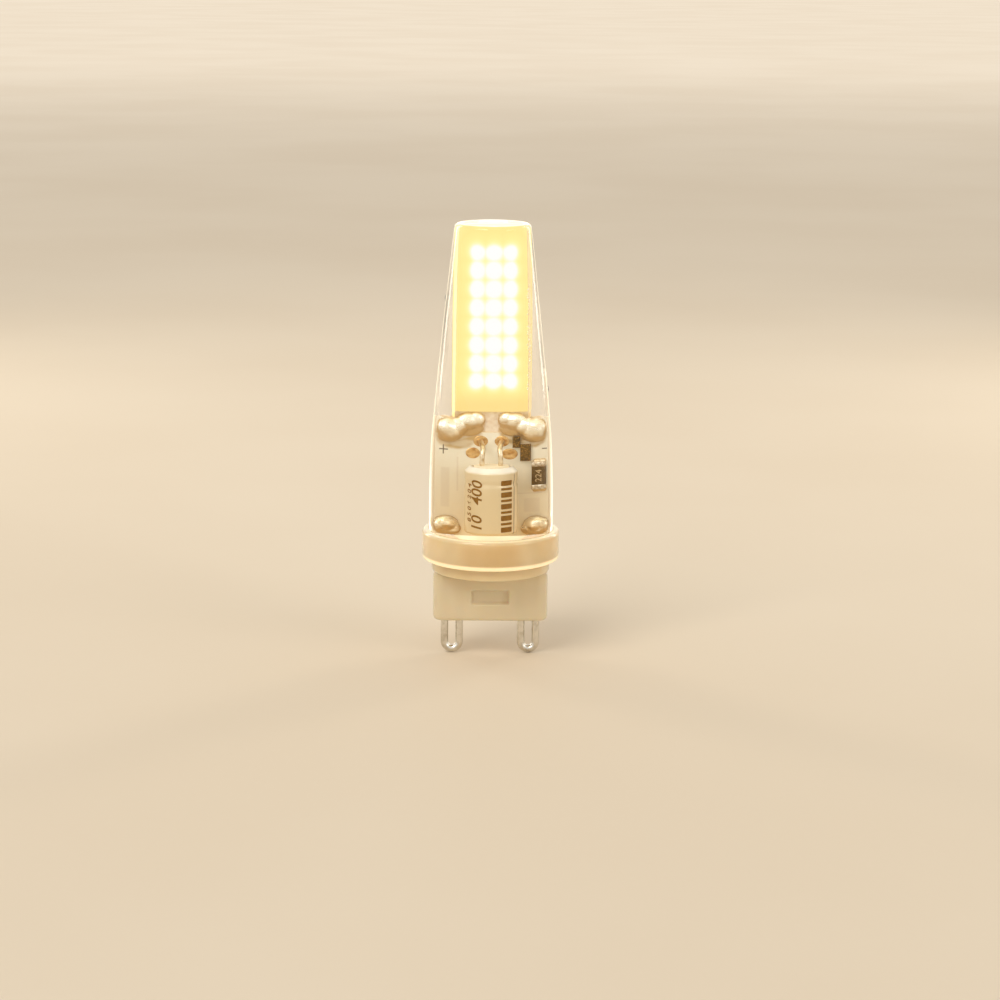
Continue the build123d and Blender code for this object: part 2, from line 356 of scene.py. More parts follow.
def milkyBaseFinish():
    s = Shader("milkyBase")
    cloud = s.noise(1.0, 3.0, s.stretched(220, 220, 160))
    fine = s.noise(2600.0, 4.0)
    away = (s.x * s.x + s.y * s.y) ** 0.5
    seat = s.smooth(s.z, 2.85, 2.98) * s.smooth(away, 7.24, 7.16)
    collar = s.smooth(s.z, -0.6, 2.6)
    # painted shade: the collar is darker in the middle, where the parts inside shade it
    paintedShadeBehind = s.smooth(abs(s.x), 4.8, 2.2) * s.smooth(s.z, 4.0, 2.2) * s.smooth(s.z, -0.2, 0.8)
    milk = s.mix(s.smooth(cloud, 0.35, 0.7), paint(232, 210, 168), paint(225, 199, 152))
    milk = s.mix(paintedShadeBehind * 0.6, milk, paint(206, 168, 108))
    milk = s.mix(s.smooth(s.z, -0.2, -3.0), milk, paint(234, 218, 184))
    # painted highlights: pale bands, in colour and in glow, along the collar's lower edge (foot) and its
    # top edge (brim)
    foot = s.smooth(abs(s.z - 0.22), 0.44, 0.14) * s.smooth(away, 7.3, 7.6)
    paintedBrimHighlight = s.smooth(s.z, 3.3, 3.46) * s.smooth(away, 7.3, 7.5)
    milk = s.mix((foot + paintedBrimHighlight) * 0.7, milk, paint(250, 238, 206))
    light = s.mix(collar, paint(36, 32, 20), paint(66, 58, 36))  # painted glow in the milk, for the lamp's own light; more up the collar, on the seat and at the edges
    light = s.mix(paintedBrimHighlight * 0.8, light, paint(128, 118, 88))
    light = s.mix(foot, light, paint(172, 160, 124))
    light = s.mix(seat, light, paint(206, 188, 142))
    return s.shown(s.principled({
        "Base Color": milk,
        "Roughness": 0.26 + cloud * 0.12,
        "IOR": 1.41,
        "Transmission Weight": 0.24,
        "Subsurface Weight": 0.6,
        "Subsurface Radius": (1.0, 0.72, 0.45),
        "Subsurface Scale": 1.6 * mm,
        "Coat Weight": 0.8,
        "Coat Roughness": 0.05,
        "Emission Color": light,
        "Emission Strength": 1.0,
        "Normal": s.bump(fine, 0.008, 0.4),
    }))


def driverBoardFinish():
    s = Shader("driverBoard")
    grain = s.noise(3200.0, 4.0)
    # painted light: the board is paler towards the top, near the LEDs, and glows a little all over and
    # more there; a little darker towards the sides
    glow = s.smooth(s.z, 4.0, 15.5)
    side = s.smooth(abs(s.x), 2.0, 5.4)
    mask = s.mix(glow, paint(233, 218, 186), paint(241, 235, 217))
    mask = s.mix(side * 0.2, mask, paint(222, 200, 160))
    mask = s.mix(s.smooth(grain, 0.45, 0.75) * 0.15, mask, paint(232, 212, 176))
    film = s.noise(420.0, 3.0)
    across, along = (abs(s.x) - 3.1) / 2.6, (s.z - 14.9) / 2.0
    flux = s.smooth(across * across + along * along + film * 0.9, 1.4, 1.05)
    streak = s.smooth(s.noise(1.0, 2.0, s.stretched(500, 500, 1600)), 0.42, 0.62)
    mask = s.mix(flux * (0.6 + streak * 0.4), mask, paint(194, 157, 94))
    faint = s.box(-4.1, 8.6, 0.9, 4.6, 0.12) + s.box(3.6, 6.6, 1.5, 1.6, 0.12)
    faint = faint + s.box(2.6, 8.0, 4.0, 0.16, 0.05) + s.box(-2.9, 10.2, 0.16, 4.0, 0.05)
    mask = s.mix(faint * 0.3, mask, paint(205, 184, 160))
    ink = s.box(-4.3, 13.0, 0.98, 0.13) + s.box(-4.3, 13.0, 0.13, 1.05)
    ink = ink + s.box(4.93, 13.1, 0.72, 0.13)
    front = s.y < -0.4
    mask = s.mix(ink * front, mask, paint(92, 66, 42))
    edge = s.smooth(abs(s.y), 0.5, 0.46)
    mask = s.mix(edge * 0.6, mask, paint(196, 160, 105))
    return s.shown(s.principled({
        "Base Color": mask,
        "Roughness": 0.34 + grain * 0.16,
        "IOR": 1.5,
        "Emission Color": s.mix(glow, paint(46, 42, 30), paint(78, 74, 56)),
        "Emission Strength": 1.0,
        "Normal": s.bump(grain + faint * 0.6, 0.012, 0.5),
    }))


def lightBoardFinish():
    s = Shader("lightBoard")
    grain = s.noise(3000.0, 4.0)
    edge = s.smooth(abs(s.y), 0.5, 0.44)
    white = s.mix(s.smooth(grain, 0.3, 0.7), paint(246, 230, 205), paint(233, 211, 180))
    white = s.mix(edge * 0.5, white, paint(240, 214, 150))
    film = s.noise(1.0, 3.0, s.stretched(500, 500, 1100))
    flux = s.smooth(s.z, 17.4, 17.0) * s.smooth(abs(s.x), 0.5, 0.62) * s.smooth(film, 0.2, 0.55)
    white = s.mix(flux * 0.75, white, paint(206, 172, 112))
    # painted glow: the board glows a little all over, more at its edges and most at its left edge
    edgeLight = s.mix(s.smooth(s.x, 3.0, -3.0), paint(150, 130, 84), paint(232, 208, 134))
    return s.shown(s.principled({
        "Base Color": white, "Roughness": 0.4 + grain * 0.15, "IOR": 1.5,
        "Emission Color": s.mix(edge, paint(60, 54, 40), edgeLight),
        "Emission Strength": 1.0,
        "Normal": s.bump(grain, 0.01, 0.5),
    }))


chipGrid = {
    "columnPitch": 1.55, "rowPitch": 2.136, "firstRow": 35.91, "rows": 8, "offset": 0.12,
    "dot": (0.64, 0.87), "spill": 0.45,
}


def phosphorFinish():
    s = Shader("phosphor")
    g = chipGrid
    rightward = s.x * ((s.y < 0.0) * 2.0 - 1.0) - g["offset"]
    nearest = s.node("Math", {"operation": "ROUND"}, [rightward / g["columnPitch"]])
    nearest = s.node("Clamp", {}, [nearest, -1.0, 1.0])
    across = (rightward - nearest * g["columnPitch"]) / g["dot"][0]
    row = s.node("Math", {"operation": "ROUND"}, [(g["firstRow"] - s.z) / g["rowPitch"]])
    row = s.node("Clamp", {}, [row, 0.0, g["rows"] - 1.0])
    along = (s.z - (g["firstRow"] - row * g["rowPitch"])) / g["dot"][1]
    distance = (across * across + along * along) ** 0.5
    # between the dots the coat is lit from several sides
    middle = g["firstRow"] - (g["rows"] - 1) * g["rowPitch"] / 2
    reach = (g["rows"] - 1) * g["rowPitch"] / 2
    amid = s.smooth(abs(rightward), g["columnPitch"] + 0.8, g["columnPitch"])
    amid = amid * s.smooth(abs(s.z - middle), reach + 1.0, reach)
    uneven = s.noise(900.0, 3.0) * 0.16 + distance - amid * g["spill"] - 0.08
    warm = s.smooth(s.z, 20.2, 18.0)
    glow = s.node("ValToRGB", {"stops": [
        (0.0, (1.0, 1.0, 1.0, 1.0)),
        (0.14, (1.0, 1.0, 0.98, 1.0)),
        (0.205, paint(254, 253, 222)),
        (0.27, paint(254, 251, 188)),
        (0.34, paint(254, 247, 164)),
        (0.44, paint(254, 242, 153)),
        (0.7, paint(254, 236, 146)),
        (1.0, paint(254, 240, 152)),
    ]}, [uneven / 4.0])
    glow = s.mix(warm * 0.9, glow, paint(255, 221, 137))
    grain = s.noise(5200.0, 3.0)
    return s.shown(s.principled({
        "Base Color": paint(40, 30, 10),
        "Roughness": 0.6,
        "Emission Color": glow,
        "Emission Strength": 0.97,
        "Normal": s.bump(grain, 0.02, 0.5),
    }))


def chipFinish():
    s = Shader("ledChip")
    grain = s.noise(4000.0, 2.0)
    return s.shown(s.principled({
        "Base Color": s.mix(grain, paint(250, 246, 220), paint(240, 226, 170)),
        "Roughness": 0.3,
        "Emission Color": paint(255, 252, 236),
        "Emission Strength": 1.4,
    }))


def metalFinish(name, bright, dark, roughness, grainScale, depth):
    s = Shader(name)
    grain = s.noise(grainScale, 4.0)
    drawn = s.noise(1.0, 3.0, s.stretched(2600, 2600, 300))
    colour = s.mix(s.smooth(grain, 0.35, 0.72), bright, dark)
    return s.shown(s.principled({
        "Base Color": colour, "Metallic": 1.0,
        "Roughness": roughness + drawn * 0.18,
        "Normal": s.bump(grain * 0.6 + drawn * 0.4, depth, 0.6),
    }))


def solderFinish(name, bright, brown):
    s = Shader(name)
    ripple = s.noise(1.0, 4.0, s.stretched(620, 620, 900))
    up = s.node("SeparateXYZ", {}, [s.node("TexCoord", {}, {}, "Normal")], "Z")
    # painted shade: faces that turn downwards are browner
    paintedUnderShade = s.smooth(up + ripple * 0.9, 0.7, -0.1)
    skirt = s.smooth(abs(s.y) - ripple * 0.4, 0.76, 0.5)  # flux drawn in where it meets the board
    streak = s.smooth(s.noise(1.0, 3.0, s.stretched(380, 380, 1500)), 0.5, 0.66)
    # the brown is partly flux (the streaks and the skirt) and partly painted shade on the undersides
    fluxAndUnderShade = streak * 0.4 + paintedUnderShade * 0.95 + skirt * 0.7
    fluxAndUnderShade = s.smooth(fluxAndUnderShade, 0.05, 1.0)
    colour = s.mix(fluxAndUnderShade, bright, brown)
    creases = s.noise(1.0, 5.0, s.stretched(330, 330, 560))
    return s.shown(s.principled({
        "Base Color": colour,
        "Metallic": 0.7 - fluxAndUnderShade * 0.4,
        "Roughness": 0.2 + ripple * 0.14 + fluxAndUnderShade * 0.1,
        # painted glow, brighter where the solder is not brown
        "Emission Color": s.mix(fluxAndUnderShade, paint(74, 70, 54), paint(34, 28, 14)),
        "Emission Strength": 1.0,
        "Normal": s.bump(ripple * 0.35 + creases, 0.2, 0.8),
    }))


def sleeveFinish():
    s = Shader("capacitorSleeve")
    c = capacitor
    film = s.noise(1.0, 3.0, s.stretched(700, 700, 220))
    turn = s.node("Math", {"operation": "ARCTAN2"}, [s.x, c["y"] - s.y])
    # painted light: the shoulder at the top is near white and glows more, the upper part is paler, and
    # the sides turning away are darker
    top = s.smooth(s.z, c["top"] - 0.75, c["top"] - 0.35)
    upper = s.smooth(s.z, 8.0, 11.2)
    side = s.smooth(abs(turn), 0.35, 1.25)
    colour = s.mix(upper * 0.5, paint(228, 205, 160), paint(238, 222, 186))
    colour = s.mix(side * 0.45, colour, paint(218, 190, 142))
    colour = s.mix(top, colour, paint(255, 248, 232))
    colour = s.mix(s.smooth(film, 0.5, 0.8) * 0.3, colour, paint(240, 222, 186))
    # painted shade: a thin dark line down the sleeve below the shoulder, for a fold in the film
    paintedFoldShade = s.smooth(abs(turn - 1.14), 0.035, 0.012) * s.smooth(s.z, c["top"] - 0.5, c["top"] - 0.9)
    colour = s.mix(paintedFoldShade, colour, paint(96, 66, 30))
    return s.shown(s.principled({
        "Base Color": colour,
        "Metallic": 0.12,
        "Roughness": 0.26 + film * 0.14,
        "Coat Weight": 0.5,
        "Coat Roughness": 0.12,
        "Emission Color": s.mix(top, paint(40, 36, 22), paint(76, 72, 56)),
        "Emission Strength": 1.0,
        "Normal": s.bump(film, 0.03, 0.6),
    }))


def plainFinish(name, first, second, roughness, scale, depth=0.01, speck=None, glow=(0, 0, 0, 1)):
    # a moulded or printed surface in two close colours, with grain and perhaps pale specks, and a painted
    # glow given as glow;
    # the casting lies against it, so it has little gloss
    s = Shader(name)
    grain = s.noise(scale, 4.0)
    colour = s.mix(s.smooth(grain, 0.3, 0.7), first, second)
    if speck:
        grit = s.node("TexVoronoi", {}, {"Vector": s.place, "Scale": speck["scale"]})
        colour = s.mix(s.smooth(grit, speck["size"], speck["size"] * 0.5), colour, speck["colour"])
    return s.shown(s.principled({
        "Base Color": colour,
        "Roughness": roughness + grain * 0.12,
        "Specular IOR Level": 0.12,
        "Emission Color": glow,
        "Emission Strength": 1.0,
        "Normal": s.bump(grain, depth, 0.5),
    }))


def packageFinish(name, bodyMiddle, bodyHalfHeight):
    # black epoxy, with tinned pins wherever the node reaches past the body
    s = Shader(name)
    grain = s.noise(2600.0, 4.0)
    pins = s.smooth(abs(s.z - bodyMiddle), bodyHalfHeight - 0.01, bodyHalfHeight + 0.01)
    black = s.mix(s.smooth(grain, 0.3, 0.7), paint(34, 32, 31), paint(48, 44, 41))
    colour = s.mix(pins, black, paint(226, 218, 202))
    return s.shown(s.principled({
        "Base Color": colour,
        "Metallic": pins,
        "Roughness": 0.5 - pins * 0.22,
        "Normal": s.bump(grain, 0.02, 0.6),
    }))


def floorFinish():
    # lit near the lamp, and of its own even colour farther off, beyond the lamps' reach
    s = Shader("floor")
    cloud = s.noise(9.0, 3.0)
    fine = s.noise(900.0, 3.0)
    far = s.smooth((s.x * s.x + s.y * s.y) ** 0.5, 350.0, 1800.0)
    colour = s.mix(s.smooth(cloud, 0.3, 0.7), paint(230, 214, 190), paint(226, 209, 184))
    return s.shown(s.principled({
        "Base Color": s.mix(far, colour, (0, 0, 0, 1)),
        "Roughness": 0.6 + fine * 0.1,
        "Specular IOR Level": 0.2,
        "Emission Color": s.mix(far, (0, 0, 0, 1), colour),
        "Emission Strength": 1.0,
    }))


print("cast body")

castBody = {
    "foot": 3.02, "tip": 39.1, "tipRadius": 4.37, "tipRound": 0.55, "footRound": 0.08,
    "radii": (
        (3.0, 7.19), (5.35, 7.2), (8.5, 7.17), (11.3, 7.1), (13.7, 6.99), (16.1, 6.82),
        (20.85, 6.36), (25.57, 5.87), (30.27, 5.37), (34.94, 4.85), (38.5, 4.44),
    ),
    "ringStep": 0.25, "sides": 208, "seamHeight": 0.03, "seamWidth": 0.07,
    # side, height, how far it stands out, half length
    "nubs": ((-1, 30.5, 0.13, 0.22), (1, 20.0, 0.12, 0.3), (1, 27.4, 0.05, 0.2)),
}
clearCast = clearCastFinish()


def castBodyRadius(radius, height, angle):
    # the mould's parting line runs up both sides, with a few nubs of flash on it
    c = castBody
    if radius < c["tipRadius"] - c["tipRound"] or height < c["foot"] + 0.4:
        return radius
    away = abs(math.sin(angle)) * radius
    grown = c["seamHeight"] * math.exp(-(away / c["seamWidth"]) ** 2)
    for side, nubHeight, reach, length in c["nubs"]:
        if math.cos(angle) * side > 0:
            near = math.exp(-(away / 0.16) ** 2 - ((height - nubHeight) / length) ** 2)
            grown += reach * near
    slow = 0.008 * math.sin(3 * angle + height * 0.4) + 0.006 * math.sin(height * 0.9 + 1.3)
    return radius + grown + slow


def makeCastBody():
    c = castBody
    foot, tip, bend = c["foot"], c["tip"], c["tipRound"]
    footRadius = curveThrough(c["radii"], foot)
    profile = [(footRadius * share, foot) for share in (0.02, 0.25, 0.5, 0.75, 0.92)]
    profile += arcPoints((footRadius - c["footRound"], foot + c["footRound"]), c["footRound"], -90, 0, 4)
    height = foot + c["footRound"] + c["ringStep"]
    while height < tip - bend - 0.05:
        profile.append((curveThrough(c["radii"], height), height))
        height += c["ringStep"]
    edge = curveThrough(c["radii"], tip - bend)
    profile += arcPoints((edge - bend, tip - bend), bend, 4, 90, 12)
    profile += [((edge - bend) * share, tip) for share in (0.9, 0.7, 0.5, 0.3, 0.12, 0.02)]
    near = [math.radians(a) for a in (0.3, 0.6, 0.9, 1.3, 1.8, 2.4)]
    angles = set(evenAngles(c["sides"]))
    for side in (0.0, math.pi):
        angles |= {(side + a) % (2 * math.pi) for a in near}
        angles |= {(side - a) % (2 * math.pi) for a in near}
    rings = revolvedRings(profile, sorted(angles), radiusAt=castBodyRadius)
    piece = meshObject("castBody", *loftedRings(rings))
    return finishPiece(piece, clearCast, ["capsule_body"])


makeCastBody()

bubbleTrail = {
    "seed": 11, "count": 60, "x": (3.2, 3.36), "y": (-1.2, -0.45), "z": (19.5, 32.0),
    "radius": (0.03, 0.085),
}


def makeBubbles():
    # small air bubbles caught along one edge of the light board
    b = bubbleTrail
    dice = random.Random(b["seed"])
    shaped = bmesh.new()
    for i in range(b["count"]):
        place = Vector((dice.uniform(*b["x"]), dice.uniform(*b["y"]), dice.uniform(*b["z"])))
        radius = dice.uniform(*b["radius"])
        stretch = Matrix.Diagonal((radius, radius, radius * dice.uniform(1.0, 2.4), 1.0))
        bmesh.ops.create_icosphere(
            shaped, subdivisions=2, radius=mm,
            matrix=Matrix.Translation(place * mm) @ stretch,
        )
    bmesh.ops.reverse_faces(shaped, faces=shaped.faces)  # glass outside, air inside
    return finishPiece(pieceFrom(shaped, "castBubbles"), bubbleFinish())


makeBubbles()

print("milky base")

base = {
    "collarRadius": 8.0, "collarHeight": 3.5, "seatRadius": 7.21, "seatFloor": 3.0,
    "collarRound": 0.5, "collarEdge": 0.32, "neckRadius": 6.9, "neckFoot": -1.4,
    "plugWidth": 13.4, "plugThickness": 5.4, "plugCorner": 1.2, "plugFoot": -7.2,
    "plugRound": 0.5, "recess": (4.4, 1.6, 0.5), "recessMiddle": -4.3, "sides": 160,
    "seatRound": 0.06, "neckFillet": 0.2, "neckRound": 0.15, "fineStep": 0.13, "coarseStep": 0.4,
    "longSteps": 88, "shortSteps": 14,
}


def makeCollar():
    b = base
    top, bend, edge = b["collarHeight"], b["collarRound"], b["collarEdge"]
    profile = [(b["seatRadius"] * share, b["seatFloor"]) for share in (0.02, 0.4, 0.8, 1.0)]
    profile += [(b["seatRadius"], top - 0.07)]
    small = b["seatRound"]
    profile += arcPoints((b["seatRadius"] + small, top - small), small, 180, 90, 4)
    profile += arcPoints((b["collarRadius"] - bend, top - bend), bend, 90, 0, 10)
    profile += [(b["collarRadius"], top - bend - 0.8), (b["collarRadius"], edge + 0.8)]
    profile += arcPoints((b["collarRadius"] - edge, edge), edge, 0, -90, 8)
    fillet, foot, inner = b["neckFillet"], b["neckFoot"], b["neckRadius"] - b["neckRound"]
    profile += arcPoints((b["neckRadius"] + fillet, -fillet), fillet, 90, 180, 4)
    profile += [(b["neckRadius"], foot + fillet)]
    profile += arcPoints((inner, foot + b["neckRound"]), b["neckRound"], 0, -90, 4)
    profile += [(inner * share, foot) for share in (0.8, 0.4, 0.02)]
    rings = revolvedRings(profile, evenAngles(b["sides"]))
    return meshObject("milkyBase", *loftedRings(rings))


def plugOutline(inset):
    # a rounded rectangle, close-set along its sides
    b = base
    halfWidth, halfDepth = b["plugWidth"] / 2 - inset, b["plugThickness"] / 2 - inset
    corner = b["plugCorner"] - inset * 0.6
    points = []
    runs = ((1, 1, 0), (-1, 1, 90), (-1, -1, 180), (1, -1, 270))
    for k, (sideX, sideY, start) in enumerate(runs):
        centre = (sideX * (halfWidth - corner), sideY * (halfDepth - corner))
        points += arcPoints(centre, corner, start, start + 90, 8)
        nextX, nextY, nextStart = runs[(k + 1) % 4]
        nextCentre = (nextX * (halfWidth - corner), nextY * (halfDepth - corner))
        first, last = points[-1], arcPoints(nextCentre, corner, nextStart, nextStart + 90, 8)[0]
        isLong = abs(first[0] - last[0]) > abs(first[1] - last[1])
        steps = b["longSteps"] if isLong else b["shortSteps"]
        for i in range(1, steps):
            t = i / steps
            points.append((first[0] + (last[0] - first[0]) * t, first[1] + (last[1] - first[1]) * t))
    return points


def ramp(value, low, high):
    t = min(max((value - low) / (high - low), 0.0), 1.0)
    return t * t * (3 - 2 * t)


def makePlug():
    b = base
    width, height, depth = b["recess"]
    levels = [(b["neckFoot"] + 0.05, 0.0)]
    z = b["neckFoot"] - 0.3
    while z > b["plugFoot"] + b["plugRound"] + 0.05:
        levels.append((z, 0.0))
        z -= b["fineStep"] if abs(z - b["recessMiddle"]) < height / 2 + 0.4 else b["coarseStep"]
    for i in range(7):
        angle = math.radians(15 * i)
        drop = b["plugRound"] * math.sin(angle)
        levels.append((b["plugFoot"] + b["plugRound"] - drop, b["plugRound"] * (1 - math.cos(angle))))
    rings = []
    for z, inset in levels:
        ring = []
        for x, y in plugOutline(inset):
            inside = ramp(abs(x), width / 2 + 0.07, width / 2 - 0.13)
            inside *= ramp(abs(z - b["recessMiddle"]), height / 2 + 0.07, height / 2 - 0.13)
            if abs(y) > b["plugThickness"] / 2 - 0.1 - inset:
                y -= math.copysign(depth * inside, y)
            ring.append((x, y, z))
        rings.append(ring)
    return meshObject("plug", *loftedRings(rings))


milkyBase = milkyBaseFinish()
finishPiece(joined([makeCollar(), makePlug()]), milkyBase, ["plug_base"])

print("contact loops")

contactWire = metalFinish("contactWire", paint(226, 222, 212), paint(200, 193, 180), 0.16, 1500.0, 0.012)
contactLoop = {
    "middle": 4.5, "bend": 0.86, "radius": 0.45, "bendHeight": -10.29,
    "solderedTop": 5.0, "freeTop": -3.0,
}


def makeContactLoop(side, name, node):
    c = contactLoop
    soldered, free = c["middle"] - c["bend"], c["middle"] + c["bend"]
    down = [c["solderedTop"] + (c["bendHeight"] - c["solderedTop"]) * i / 30 for i in range(30)]
    path = [(side * soldered, 0, z) for z in down]
    for x, z in arcPoints((c["middle"], c["bendHeight"]), c["bend"], 180, 360, 28):
        path.append((side * x, 0, z))
    path += [
        (side * free, 0, c["bendHeight"] + (c["freeTop"] - c["bendHeight"]) * i / 14)
        for i in range(1, 15)
    ]
    finishPiece(tube(name, path, c["radius"], 28), contactWire, [node])


makeContactLoop(-1, "contactLoopLeft", "contact_loop_left")
makeContactLoop(1, "contactLoopRight", "contact_loop_right")

print("solder")

lightSolder = solderFinish("lightSolder", paint(250, 241, 218), paint(206, 170, 112))
mainsSolder = solderFinish("mainsSolder", paint(240, 224, 190), paint(182, 144, 84))
boardFace = 0.5
solderForms = {
    # x, height, half width, half depth, half height, tilt, all before the face
    "light": (
        (1.3, 16.5, 0.8, 0.62, 0.95, 0), (2.05, 16.3, 1.1, 0.75, 1.05, -12),
        (3.0, 15.7, 1.2, 0.85, 1.05, -32), (3.85, 15.3, 1.3, 1.0, 1.45, -8),
        (4.6, 15.5, 0.7, 0.7, 1.0, 0), (1.75, 15.35, 1.15, 0.3, 0.75, -14),
        (3.75, 14.6, 1.35, 0.3, 0.75, -6),
    ),
    "mains": (
        (3.95, 4.35, 1.2, 0.85, 1.0, 0), (4.75, 4.15, 0.85, 0.72, 0.95, 12),
        (3.5, 3.85, 0.95, 0.66, 0.8, 0), (4.2, 3.7, 1.3, 0.62, 0.64, 0),
    ),
}


def makeSolder(name, node, metal, blobs, side, face, seed, voxel=0.075, wobble=0.03):
    # overlapping drops, melted into one skin and left a little lumpy
    dice = random.Random(seed)
    shaped = bmesh.new()
    for x, z, halfWidth, halfDepth, halfHeight, tilt in blobs:
        place = Matrix.Translation(Vector((side * x, face * boardFace, z)) * mm)
        turn = Matrix.Rotation(math.radians(-side * tilt), 4, "Y")
        size = Matrix.Diagonal((halfWidth, halfDepth, halfHeight, 1.0))
        bmesh.ops.create_icosphere(shaped, subdivisions=4, radius=mm, matrix=place @ turn @ size)
    piece = pieceFrom(shaped, name)
    melt = piece.modifiers.new("melt", "REMESH")
    melt.mode, melt.voxel_size = "VOXEL", voxel * mm
    soften = piece.modifiers.new("soften", "SMOOTH")
    soften.factor, soften.iterations = 0.5, 9
    melted = evaluatedMesh(piece)
    piece.modifiers.clear()
    piece.data = melted
    waves = [(dice.uniform(1.5, 4.5), dice.uniform(1.5, 4.5), dice.uniform(0, 6.28)) for i in range(5)]
    for vertex, normal in zip(melted.vertices, [v.normal.copy() for v in melted.vertices]):
        x, y, z = vertex.co / mm
        lump = sum(math.sin(a * x + b * z + c + y) for a, b, c in waves) / len(waves)
        vertex.co += normal * lump * wobble * mm
    melted.polygons.foreach_set("use_smooth", [True] * len(melted.polygons))
    melted.name = name
    return finishPiece(piece, metal, [node])


seed = 1
for face, faceName in ((-1, "Front"), (1, "Rear")):
    for side, sideName, pole in ((-1, "Left", "plus"), (1, "Right", "minus")):
        seed += 1
        node = f"solder_{pole}_{faceName.lower()}"
        makeSolder(
            "lightSolder" + sideName + faceName, node, lightSolder, solderForms["light"],
            side, face, seed,
        )
        node = f"mains_solder_{sideName.lower()}_{faceName.lower()}"
        makeSolder(
            "mainsSolder" + sideName + faceName, node, mainsSolder, solderForms["mains"],
            side, face, seed + 20,
        )

# behind the board: a flat drop round each lead, and one over its end
leadEnds = [(x, 14.05, 0.7, 0.3, 0.7, 0) for x in (-0.9, 0.9)]
leadEnds += [(x, 14.05, 0.34, 0.62, 0.34, 0) for x in (-0.9, 0.9)]
makeSolder("capacitorSolder", "capacitor_solder", lightSolder, leadEnds, 1, 1, 60, 0.06, 0.02)

print("capacitor")

capacitor = {
    "y": -3.22, "radius": 2.6, "foot": 3.8, "top": 11.6, "wall": 0.09, "opening": 1.9,
    "footRound": 0.35, "shoulder": 0.55, "grooveHeight": 9.75, "grooveWidth": 0.28,
    "grooveDepth": 0.07, "sides": 128, "crownRound": 0.16, "shoulderRound": 0.22,
}


def grooveSink(height):
    # how deep the rolled groove is at a height
    c = capacitor
    return c["grooveDepth"] * math.exp(-((height - c["grooveHeight"]) / c["grooveWidth"]) ** 2)


def makeSleeve():
    c = capacitor
    radius, foot, top = c["radius"], c["foot"], c["top"]
    outer = [(c["opening"], foot)]
    outer += arcPoints((radius - c["footRound"], foot + c["footRound"]), c["footRound"], -90, 0, 8)
    steps = 60
    low, high = foot + c["footRound"], top - c["shoulder"] - 0.12
    for i in range(1, steps):
        z = low + (high - low) * i / steps
        outer.append((radius - grooveSink(z), z))
    outer += arcPoints((radius - c["shoulderRound"], high), c["shoulderRound"], 0, 45, 5)
    crown = (radius - c["shoulder"] - 0.02, top - c["crownRound"])
    outer += arcPoints(crown, c["crownRound"], 45, 90, 5)
    outer.append((c["opening"] + 0.02, top))
    inner = [(r - c["wall"] if r > c["opening"] + 0.2 else r, z) for r, z in reversed(outer)]
    inner = [(r, min(max(z, foot + c["wall"]), top - c["wall"])) for r, z in inner]
    rings = revolvedRings(outer + inner, evenAngles(c["sides"]), (0.0, c["y"]))
    piece = meshObject("capacitorSleeve", *loftedRings(rings, looped=True))
    return finishPiece(piece, sleeveFinish(), ["capacitor_sleeve"])


makeSleeve()


def printedText(name, words, size, slant=0.0, thick=0.0):
    # flat letters as a mesh, in millimetres round their own middle
    curve = bpy.data.curves.new(name, "FONT")
    curve.body, curve.size, curve.shear, curve.offset = words, size, slant, thick
    curve.align_x, curve.align_y = "CENTER", "CENTER"
    curve.extrude = 0.004
    carrier = bpy.data.objects.new(name, curve)
    bpy.context.collection.objects.link(carrier)
    mesh = evaluatedMesh(carrier)
    bpy.data.objects.remove(carrier)
    shaped = bmesh.new()
    shaped.from_mesh(mesh)
    bmesh.ops.subdivide_edges(
        shaped, edges=[e for e in shaped.edges if e.calc_length() > size * 0.2], cuts=2
    )
    vertices = [tuple(v.co) for v in shaped.verts]
    faces = [tuple(v.index for v in f.verts) for f in shaped.faces]
    shaped.free()
    return vertices, faces


def onSleeve(vertices, turn, height):
    # letters read upwards: their tops point to the left, round the sleeve
    c = capacitor
    placed = []
    for u, v, w in vertices:
        angle = math.radians(turn) - v / c["radius"]
        z = height + u
        r = c["radius"] + 0.008 + w - grooveSink(z)
        placed.append((r * math.sin(angle), c["y"] - r * math.cos(angle), z))
    return placed


sleevePrint = {
    # letters, size, turn round the sleeve in degrees, height
    "rows": (
        ("400", 1.9, -36.0, 8.75), ("10", 1.9, -36.0, 5.15),
        ("8 5 0 6 2 0 4", 0.86, -60.0, 7.5),
    ),
    "slant": 0.15, "thickened": 0.022,
    "bars": (0.6, 0.28) * 4 + (0.6,), "barGap": 0.24, "barReach": 0.72, "stripeFoot": 4.2,
    "stripeTurn": 40.0, "ink": (paint(134, 88, 16), paint(150, 104, 28)),
}


def makePrint():
    p = sleevePrint
    ink = plainFinish("sleeveInk", *p["ink"], 0.5, 3000.0)
    pieces = []
    for i, (words, size, turn, height) in enumerate(p["rows"]):
        vertices, faces = printedText(f"sleevePrint{i}", words, size, p["slant"], p["thickened"])
        pieces.append(meshObject(f"sleevePrint{i}", onSleeve(vertices, turn, height), faces, False))
    # the polarity stripe: bold bars in a column, their corners cut a little
    z = p["stripeFoot"]
    for i, length in enumerate(p["bars"]):
        rings = []
        for t in (0.0, 0.1, 0.9, 1.0):
            reach = p["barReach"] if t in (0.1, 0.9) else p["barReach"] - 0.06
            across = [reach * (k / 6 - 1) for k in range(13)]
            rings.append(
                [(z + length * t, v, -0.004) for v in across]
                + [(z + length * t, v, 0.004) for v in reversed(across)]
            )
        vertices, faces = loftedRings(rings)
        placed = onSleeve(vertices, p["stripeTurn"], 0.0)
        pieces.append(meshObject(f"stripe{i}", placed, faces, False))
        z += length + p["barGap"]
    whole = joined(pieces)
    whole.name = "sleevePrint"
    finishPiece(whole, ink)


makePrint()

